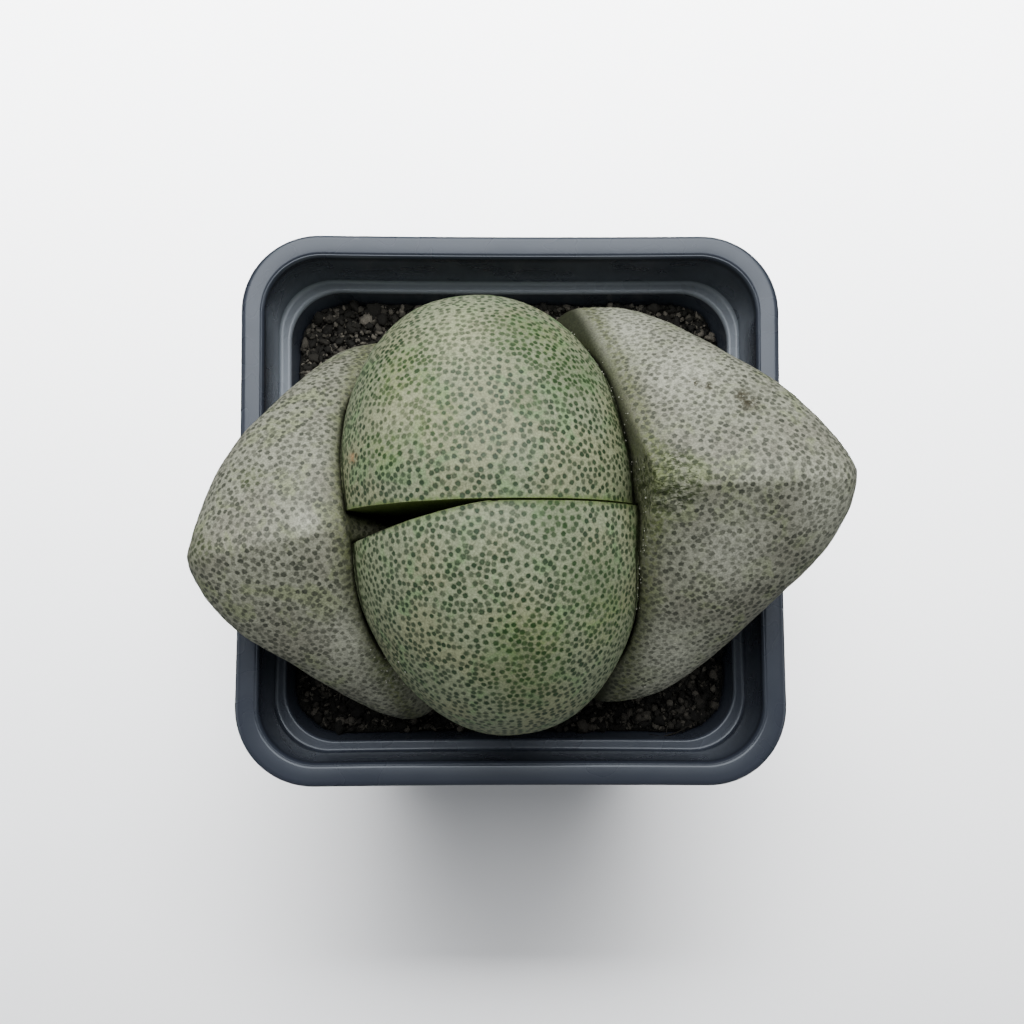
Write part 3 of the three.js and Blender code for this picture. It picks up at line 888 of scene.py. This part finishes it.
def potProfile():
    underside = potSize["floorTop"] - potSize["floorThickness"]
    bodyInset = ledgeInset - potSize["wall"]
    stepZ = ledgeZ - potSize["wall"]
    lipZ = potSize["height"] - potSize["lipDepth"]
    baseInset = potSize["halfX"] - potSize["baseHalf"]
    top = potSize["height"]
    return roundedProfile([
        (baseInset + 8, underside, 0),
        (baseInset, underside, 0.9),
        (bodyInset, stepZ, 0.35),
        (potSize["lipOverhang"], stepZ, 0.4),
        (potSize["lipOverhang"], lipZ, 0.3),
        (0, lipZ, 0.35),
        (0, top - 0.05, 0.7),
        (potSize["rimWidth"] * 0.42, top, 0.5),
        (potSize["rimWidth"] - 0.5, top - 0.09, 0.2),
        (potSize["rimWidth"] - 0.4, top - 0.2, 0.04),
        (potSize["rimWidth"] - 0.3, top - 0.16, 0.04),
        (potSize["rimWidth"], top - 0.42, 0.3),
        (potSize["rimWidth"] + 0.12, top - 2.6, 1.2),
        (potSize["rimWidth"] + 0.15, ledgeZ - potSize["ledgeDip"], 0.55),
        (ledgeInset, ledgeZ, 0.42),
        (floorInset, potSize["floorTop"], 1.3),
        (floorInset + 8, potSize["floorTop"], 0),
    ])


def extrudeOutline(outline, low, high):
    count = len(outline)
    points = [(x, y, low) for x, y in outline] + [(x, y, high) for x, y in outline]
    faces = [list(range(count))[::-1], [count + i for i in range(count)]]
    for i in range(count):
        j = (i + 1) % count
        faces.append([i, j, count + j, count + i])
    return points, faces


wallMiddle = {  # how far in from the rim the middle of the wall lies
    "collar": 2.5,
    "body": 4.05,
    "bodyTop": 48.3,
    "bodySlope": 0.126,
    "collarAbove": 48.6,
}


def onInnerSide(points):
    # True on the inner side, told from the outer side by how far in from the rim a point lies
    radius = potSize["cornerRadius"]
    beyond = np.maximum(np.abs(points[:, :2]) - (np.array([potSize["halfX"], potSize["halfY"]]) - radius), 0)
    inset = radius - np.hypot(beyond[:, 0], beyond[:, 1])
    body = wallMiddle["body"] + (wallMiddle["bodyTop"] - points[:, 2]) * wallMiddle["bodySlope"]
    return np.where(points[:, 2] > wallMiddle["collarAbove"], inset > wallMiddle["collar"], inset > body)


def buildPot(material):
    points, faces = loft([potLoop(inset, z) for inset, z in potProfile()])
    shell = newObject("pot_raw", points, faces, 1.0)
    tools = []
    half = potSize["baseHalf"] - potSize["footEdge"]
    near, far, wide = potSize["footInset"], potSize["footLength"], potSize["footWidth"]
    legs = [(near, near), (far, near), (far, near + wide), (near + wide, near + wide),
            (near + wide, far), (near, far)]
    for signX, signY in ((1, 1), (-1, 1), (-1, -1), (1, -1)):
        outline = [(signX * (half - a), signY * (half - b)) for a, b in legs]
        if signX * signY < 0:
            outline = outline[::-1]
        foot = newObject("foot", *extrudeOutline(outline, 0.0, potSize["footTop"]), 1.0)
        cutInto(shell, foot, "UNION", "EXACT")
        tools.append(foot)
    spacing = potSize["drainSpacing"]
    turns = np.radians(np.arange(0, 360, 10))
    ring = potSize["drainRadius"] * np.stack([np.cos(turns), np.sin(turns)], 1)
    for x, y in ((0, 0), (spacing, spacing), (-spacing, spacing), (-spacing, -spacing), (spacing, -spacing)):
        hole = newObject("hole", *extrudeOutline((ring + (x, y)).tolist(), -2.0, 8.0), 1.0)
        cutInto(shell, hole, "DIFFERENCE", "EXACT")
        tools.append(hole)
    mesh = bakeModifiers(shell)
    for tool in tools:
        bpy.data.objects.remove(tool)
    points = vertexArray(mesh)
    setValues(mesh, "innerSide", onInnerSide(points))
    potPiece = newPiece("pot_shell", mesh, points, material)
    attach(potPiece, "root")
    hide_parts("pot")
    print("pot", len(mesh.vertices), "points")


potLook = {
    "plastic": rgb(47, 52, 63), "plasticWorn": rgb(56, 62, 76), "dust": rgb(98, 106, 120),
    "settledDustAndLight": rgb(158, 166, 176), "roughness": 0.28, "gloss": 0.74, "glossTint": (0.86, 0.93, 1.0, 1.0),
    "wornShare": 0.22,
    "filmAndLightShare": (0.3, 0.6),  # dust on the inner side, and painted light on the inner walls
    "filmAndLightFrontBack": (0.6, 1.2),
    "dustAndLightTo": (-28.0, 20.0),  # the dust and the painted light get stronger from the front to here
    "ledgeBand": (0.3, 0.6),  # dust on the ledge, and painted light on the far ledge that the collar wall shades
    "scuffShare": (0.08, 0.3),
}


def potMaterial():
    material, tree, place = newMaterial("pot_plastic")
    cloud = noiseOf(tree, place, 0.09, 3.0)
    fine = noiseOf(tree, place, 0.8, 2.0, 0.5)
    smear = noiseOf(tree, place, 0.16, 2.0, 0.5)
    worn = spread(tree, cloud, 0.35, 0.65, 0.0, potLook["wornShare"])
    colour = mixColour(tree, worn, potLook["plastic"], potLook["plasticWorn"])
    height = along(tree, place, 2)
    farther = spread(tree, along(tree, place, 1), *potLook["dustAndLightTo"], 0.0, 1.0)
    inside = spread(tree, height, potSize["height"] - 1, potSize["height"] - 2, 0.0, 1.0)
    inside = times(tree, inside, attribute(tree, "innerSide"))
    outside = maths(tree, "SUBTRACT", 1.0, attribute(tree, "innerSide"))
    # A lighter film on the inner side: partly dust, partly painted light on the dim inner walls, stronger
    # toward the back
    filmAndLight = times(tree, inside, spread(tree, smear, 0.3, 0.7, *potLook["filmAndLightShare"]))
    filmAndLight = times(tree, filmAndLight, spread(tree, farther, 0.0, 1.0, *potLook["filmAndLightFrontBack"]))
    # A pale band on the ledge, lighter toward the back: partly dust, partly painted light on the ledge that
    # the collar wall shades
    level = maths(tree, "ABSOLUTE", maths(tree, "SUBTRACT", height, ledgeZ - 0.15))
    ledgeDustAndLight = times(tree, spread(tree, level, *potLook["ledgeBand"], 1.0, 0.0), inside)
    ledgeDustAndLight = times(tree, ledgeDustAndLight, farther)
    colour = mixColour(tree, filmAndLight, colour, potLook["dust"])
    colour = mixColour(tree, ledgeDustAndLight, colour, potLook["settledDustAndLight"])
    scuffs = noiseOf(tree, place, 0.5, 5.0, 0.65)
    low = spread(tree, height, 0.0, potSize["height"] - 3, 1.0, 0.0)
    scuffed = times(tree, spread(tree, scuffs, 0.45, 0.75, *potLook["scuffShare"]), low)
    colour = mixColour(tree, times(tree, scuffed, outside), colour, potLook["dust"])
    roughness = maths(tree, "ADD", spread(tree, smear, 0.3, 0.7, -0.02, 0.03), potLook["roughness"])
    normal = bump(tree, fine, 0.1, 0.03)
    finishMaterial(tree, colour, roughness, normal, Specular_IOR_Level=potLook["gloss"],
                   Specular_Tint=potLook["glossTint"])
    return material


buildPot(potMaterial())


# The soil: a lumpy bed with loose crumbs, pale grit and a few root hairs on it

soilSize = {
    "level": 45.4, "relief": 0.55, "gap": 0.3, "rings": 46,
    "crumble": {"height": 0.35, "size": 1.1},  # rough all over
    "edgeSwell": {"height": 1.1, "size": 3.0, "from": 0.8},  # higher and lower along the pot's wall
    "clearance": 0.9,  # crumbs stay this far from the feet of the leaves
}
grainKinds = {
    "soil_crumbs_small": {"count": 11000, "size": (0.35, 1.0), "detail": 1, "sunk": 0.25, "seed": 31},
    "soil_crumbs_big": {"count": 1800, "size": (0.6, 1.7), "detail": 2, "sunk": 0.25, "seed": 32},
    "soil_pale_grit": {"count": 40, "size": (0.3, 0.8), "detail": 2, "sunk": 0.1, "seed": 33},
}


def insideLoop(gap, z):
    foot = potLoop(floorInset + gap, z)
    wallTop, wallBottom = ledgeZ - 0.3, potSize["floorTop"] + 1.2
    share = (wallTop - z) / (wallTop - wallBottom)
    return potLoop(ledgeInset + gap, z) * (1 - share) + foot * share


def lumps(x, y):
    broad = np.sin(x * 0.42 + 1.3) * np.cos(y * 0.37 + 0.4)
    fine = np.sin(x * 1.31 + y * 0.83) * np.cos(y * 1.57 - x * 0.49)
    return soilSize["relief"] * (0.6 * broad + 0.4 * fine)


def buildSoilBed(material):
    crumble, edgeSwell = soilSize["crumble"], soilSize["edgeSwell"]
    bottom = potSize["floorTop"] + soilSize["gap"]
    edge = insideLoop(soilSize["gap"], soilSize["level"])
    loops = [
        potLoop(floorInset + 1.6, bottom),
        insideLoop(soilSize["gap"], bottom + 1.3),
        insideLoop(soilSize["gap"], soilSize["level"] - 1.2),
    ]
    for share in np.linspace(1.0, 0.03, soilSize["rings"]):
        ring = edge * np.array([share, share, 1.0])
        rough = waves(ring, crumble["size"], 21, 3) * crumble["height"]
        swell = waves(ring, edgeSwell["size"], 22, 3) * edgeSwell["height"]
        rough = rough + swell * smoothStep(share, edgeSwell["from"], 1.0)
        ring[:, 2] = soilSize["level"] + lumps(ring[:, 0], ring[:, 1]) + rough - 0.2
        loops.append(ring)
    points, faces = loft(loops)
    bed = newObject("soil_bed", points, faces)
    bed.data.materials.append(material)
    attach(bed, "root")
    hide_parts("soil")
    print("soil bed", len(bed.data.vertices), "points")


def footReach(top, parts=90):
    # How far out from the middle the leaves reach below this height, for each direction
    points = np.vstack([vertexArray(piece.data) / mm for piece in leafPieces])
    low = points[points[:, 2] < top]
    reach = np.zeros(parts)
    part = (np.arctan2(low[:, 1], low[:, 0]) / (2 * np.pi) % 1 * parts).astype(int)
    np.maximum.at(reach, part, np.hypot(low[:, 0], low[:, 1]))
    return np.maximum(reach, np.maximum(np.roll(reach, 1), np.roll(reach, -1)))


leafFeet = footReach(48.0)
print("leaf feet reach", leafFeet.min().round(1), "to", leafFeet.max().round(1), "mm")


def roughBall(subdivisions):
    ball = bpy.data.meshes.new("ball")
    work = bmesh.new()
    bmesh.ops.create_icosphere(work, subdivisions=subdivisions, radius=1.0)
    work.to_mesh(ball)
    work.free()
    points = vertexArray(ball)
    faces = np.array([list(p.vertices) for p in ball.polygons])
    bpy.data.meshes.remove(ball)
    return points, faces


def spots(count, rng, margin=0.7):
    # Random places on the open soil, between the leaves and the pot's inside
    edge = insideLoop(margin, soilSize["level"])
    limitX, limitY = edge[:, 0].max(), edge[:, 1].max()
    corner = 6.0
    found = []
    while len(found) < count:
        x, y = rng.uniform(-limitX, limitX), rng.uniform(-limitY, limitY)
        inX, inY = max(abs(x) - limitX + corner, 0), max(abs(y) - limitY + corner, 0)
        reach = leafFeet[int(math.atan2(y, x) / (2 * math.pi) % 1 * len(leafFeet))]
        clear = math.hypot(x, y) > reach + soilSize["clearance"]
        if clear and math.hypot(inX, inY) < corner:
            found.append((x, y))
    return np.array(found)


def scatterGrains(name, material):
    look = grainKinds[name]
    rng = np.random.default_rng(look["seed"])
    base, faces = roughBall(look["detail"])
    smallest, largest = look["size"]
    allPoints, allFaces, tones = [], [], []
    for i, (x, y) in enumerate(spots(look["count"], rng)):
        size = smallest + (largest - smallest) * rng.uniform() ** 2.2
        shape = base * rng.uniform(0.5, 1.5, (1, 3)) * rng.uniform(0.6, 1.25, (len(base), 1))
        shape[:, 2] *= 0.75  # they lie flat
        turn = Matrix.Rotation(rng.uniform(0, 6.283), 3, "Z")
        turn = turn @ Matrix.Rotation(rng.uniform(-0.5, 0.5), 3, "X")
        shape = shape @ np.array(turn).T * size / 2
        z = soilSize["level"] + float(lumps(x, y)) + size * (0.5 - look["sunk"]) + rng.uniform(-0.1, 0.35)
        allPoints.append(shape + np.array([x, y, z]))
        allFaces.append(faces + i * len(base))
        tones += [rng.uniform()] * len(base)
    grains = newObject(name, np.vstack(allPoints), np.vstack(allFaces).tolist())
    setValues(grains.data, "grainTone", tones)
    grains.data.materials.append(material)
    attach(grains, "root")
    print(name, len(grains.data.polygons), "faces")


soilLook = {
    "dark": rgb(44, 43, 40), "brown": rgb(52, 49, 44), "light": rgb(148, 142, 130),
    "pale": rgb(168, 163, 150),
    "frontToBack": (-28.0, 24.0),
    "frontShade": 0.52,  # painted shade makes the soil darker than its own colours at the front, and painted light makes it lighter at the back
    "backLit": 1.45,
}


def soilMaterial(name, dark, light, perGrain):
    material, tree, place = newMaterial(name)
    patch = noiseOf(tree, place, 0.5, 4.0, 0.6)
    fine = noiseOf(tree, place, 4.0, 4.0, 0.7)
    if perGrain:
        share = spread(tree, attribute(tree, "grainTone"), 0.5, 1.15)
    else:
        share = spread(tree, patch, 0.5, 0.75)
    share = times(tree, share, spread(tree, fine, 0.3, 0.7, 0.5, 1.0))
    colour = mixColour(tree, share, dark, light)
    # Painted shade at the front and painted light at the back
    shadeToLight = spread(tree, along(tree, place, 1), *soilLook["frontToBack"], soilLook["frontShade"],
                 soilLook["backLit"])
    colour = dimmed(tree, colour, shadeToLight)
    normal = bump(tree, fine, 0.8, 0.15)
    finishMaterial(tree, colour, spread(tree, fine, 0.0, 1.0, 0.8, 1.0), normal, Specular_IOR_Level=0.3)
    return material


def tubeMesh(path, radius, sides=6):
    path = np.asarray(path, float)
    loops = []
    for i, point in enumerate(path):
        ahead = path[min(i + 1, len(path) - 1)] - path[max(i - 1, 0)]
        ahead /= np.linalg.norm(ahead)
        sideways = np.cross(ahead, [0.0, 0.0, 1.0]) + np.array([1e-6, 0, 0])
        sideways /= np.linalg.norm(sideways)
        up = np.cross(sideways, ahead)
        thin = radius * (1 - 0.6 * abs(2 * i / (len(path) - 1) - 1) ** 3)
        turns = np.arange(sides) * 2 * math.pi / sides
        loops.append([point + thin * (math.cos(t) * sideways + math.sin(t) * up) for t in turns])
    return loft(loops)


fibres = {
    "count": 110, "length": (1.5, 5.0), "radius": 0.08, "steps": 9, "lift": 0.55, "sway": 0.35,
    "long": [(18.9, -30.0, 46.5), (20.6, -30.3, 47.1), (22.6, -29.7, 47.3), (24.4, -28.7, 47.1),
             (26.2, -27.8, 46.6)],
    "longRadius": 0.11,
}


def buildFibres(material):
    rng = np.random.default_rng(77)
    allPoints, allFaces, offset = [], [], 0
    paths = [(fibres["long"], fibres["longRadius"])]
    for x, y in spots(fibres["count"], rng, 3.0):
        length = rng.uniform(*fibres["length"])
        heading, bend = rng.uniform(0, 6.283), rng.uniform(-0.35, 0.35)
        z, path = soilSize["level"] + float(lumps(x, y)) + fibres["lift"], []
        stride = length / fibres["steps"]
        for step in range(fibres["steps"]):
            path.append((x, y, z + fibres["sway"] * math.sin(step * 0.8 + heading)))
            x, y = x + stride * math.cos(heading), y + stride * math.sin(heading)
            heading += bend
        paths.append((path, fibres["radius"] * rng.uniform(0.6, 1.2)))
    for path, radius in paths:
        points, faces = tubeMesh(path, radius)
        allPoints.append(points)
        allFaces += [[v + offset for v in face] for face in faces]
        offset += len(points)
    hairs = newObject("soil_fibres", np.vstack(allPoints), allFaces)
    hairs.data.materials.append(material)
    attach(hairs, "root")
    print("root hairs", len(paths))


bedMaterial = soilMaterial("soil_bed", soilLook["dark"], soilLook["brown"], False)
grainMaterial = soilMaterial("soil_grains", soilLook["dark"], soilLook["light"], True)
paleMaterial = soilMaterial("pale_grit", soilLook["light"], soilLook["pale"], True)
fibreMaterial = soilMaterial("dry_fibre", soilLook["brown"], soilLook["pale"], False)
buildSoilBed(bedMaterial)
scatterGrains("soil_crumbs_small", grainMaterial)
scatterGrains("soil_crumbs_big", grainMaterial)
scatterGrains("soil_pale_grit", paleMaterial)
buildFibres(fibreMaterial)


# The rootstock stays as the solid part has it, with its own finish

rootLook = {"bark": rgb(92, 76, 56), "paleBark": rgb(150, 132, 102)}


def rootMaterial():
    material, tree, place = newMaterial("root_bark")
    streaks = noiseOf(tree, stretchedPlace(tree, place, (1.0, 1.0, 0.2)), 1.2, 4.0, 0.6)
    colour = mixColour(tree, spread(tree, streaks, 0.35, 0.65), rootLook["bark"], rootLook["paleBark"])
    finishMaterial(tree, colour, spread(tree, streaks, 0.0, 1.0, 0.75, 0.95), bump(tree, streaks, 0.6, 0.3),
                   Specular_IOR_Level=0.3)
    return material


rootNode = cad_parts["rootstock"]
rootNode.data.materials.clear()
rootNode.data.materials.append(rootMaterial())
print("rootstock finished")


# Dust: tiny pale grains caught along the seams between the leaves

dustLook = {
    "dark": rgb(140, 142, 128), "light": rgb(190, 190, 176),
    "size": (0.05, 0.12),
    "dropFrom": 120.0,  # each grain falls on the leaves from here
    "seams": [  # from, to, how many, how far they stray
        ((9.3, 18.6), (12.5, 9.0), 14, 0.35),
        ((12.5, 9.0), (14.6, -1.0), 18, 0.35),
        ((14.6, -1.0), (14.3, -13.3), 30, 0.2),
        ((-16.4, -17.0), (-13.6, -22.4), 26, 1.6),
        ((16.6, -21.7), (15.4, -23.0), 3, 0.5),
        ((-30.2, -7.3), (-30.9, -8.8), 3, 0.5),
        ((7.2, 21.6), (7.9, 21.2), 5, 0.25),
    ],
}


def dustMaterial():
    material, tree, place = newMaterial("pale_dust")
    fine = noiseOf(tree, place, 8.0, 2.0)
    colour = mixColour(tree, spread(tree, fine, 0.3, 0.7), dustLook["dark"], dustLook["light"])
    finishMaterial(tree, colour, spread(tree, fine, 0.0, 1.0, 0.5, 0.8), bump(tree, fine, 0.4, 0.03),
                   Specular_IOR_Level=0.5)
    return material


def buildDust(material):
    rng = np.random.default_rng(91)
    graph = bpy.context.evaluated_depsgraph_get()
    trees = [BVHTree.FromObject(piece, graph) for piece in leafPieces]
    base, faces = roughBall(1)
    allPoints, allFaces = [], []
    for start, end, count, stray in dustLook["seams"]:
        for _ in range(count):
            share = rng.uniform()
            x = start[0] + (end[0] - start[0]) * share + rng.normal() * stray * 0.6
            y = start[1] + (end[1] - start[1]) * share + rng.normal() * stray * 0.6
            above = Vector((x * mm, y * mm, dustLook["dropFrom"] * mm))
            hits = [tree.ray_cast(above, Vector((0, 0, -1)))[0] for tree in trees]
            tops = [hit for hit in hits if hit is not None]
            if not tops:
                continue
            top = max(tops, key=lambda hit: hit.z)
            size = rng.uniform(*dustLook["size"])
            shape = base * rng.uniform(0.6, 1.3, (1, 3)) * rng.uniform(0.8, 1.2, (len(base), 1)) * size
            allFaces += (faces + len(allPoints) * len(base)).tolist()
            allPoints.append(shape + np.array(top) / mm)
    dust = newObject("seam_dust", np.vstack(allPoints), allFaces)
    dust.data.materials.append(material)
    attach(dust, "root")
    print("dust", len(allPoints), "grains")


buildDust(dustMaterial())


# Floor, lights and sky

stageLook = {
    "floor": rgb(240, 241, 243),
    "floorShade": rgb(236, 238, 241),
    "floorHalf": 1500.0,
    "sky": 0.235,
    "skyColour": (0.93, 0.96, 1.0, 1.0),
    "window": {
        "place": (0.0, 368.0, 552.0), "size": (720.0, 720.0), "power": 7.0, "aim": (0.0, 0.0, 60.0),
    },
    "sideLight": {  # one on each side
        "place": (680.0, -60.0, 330.0), "size": (420.0, 500.0), "power": 0.62, "aim": (0.0, 0.0, 60.0),
    },
    "floorLight": {  # falls on the paper only
        "place": (0.0, 420.0, 410.0), "size": (540.0, 420.0), "power": 8.9, "aim": (0.0, 288.0, 0.0),
    },
    "floorSpread": 60.0,
}


def softLight(name, look):
    light = bpy.data.lights.new(name, "AREA")
    light.shape = "RECTANGLE"
    light.size, light.size_y = (side * mm for side in look["size"])
    light.energy = look["power"]
    panel = addToScene(name, light)
    panel.location = Vector(look["place"]) * mm
    panel.rotation_euler = (Vector(look["aim"]) * mm - panel.location).to_track_quat("-Z", "Y").to_euler()
    return panel


def buildStage(look):
    half = look["floorHalf"]
    floor = newObject("floor", [(-half, -half, 0), (half, -half, 0), (half, half, 0), (-half, half, 0)],
                      [[0, 1, 2, 3]])
    material, tree, place = newMaterial("floor_white")
    faint = noiseOf(tree, place, 0.01, 3.0)
    colour = mixColour(tree, spread(tree, faint, 0.3, 0.7), look["floorShade"], look["floor"])
    finishMaterial(tree, colour, spread(tree, faint, 0.0, 1.0, 0.8, 0.9), bump(tree, faint, 0.05, 0.2))
    floor.data.materials.append(material)
    floor.visible_diffuse = False  # the paper's own glow stays off the plant
    floor.visible_glossy = False

    world = bpy.data.worlds.new("sky")
    bpy.context.scene.world = world
    world.use_nodes = True
    background = world.node_tree.nodes["Background"]
    background.inputs["Color"].default_value = look["skyColour"]
    background.inputs["Strength"].default_value = look["sky"]

    softLight("window", look["window"])
    for side in (-1, 1):
        x, y, z = look["sideLight"]["place"]
        softLight("side_light", {**look["sideLight"], "place": (side * x, y, z)})
    paper = bpy.data.collections.new("paper")
    paper.objects.link(floor)
    floorLight = softLight("floor_light", look["floorLight"])
    floorLight.data.spread = math.radians(look["floorSpread"])
    floorLight.light_linking.receiver_collection = paper


buildStage(stageLook)
print("stage set")
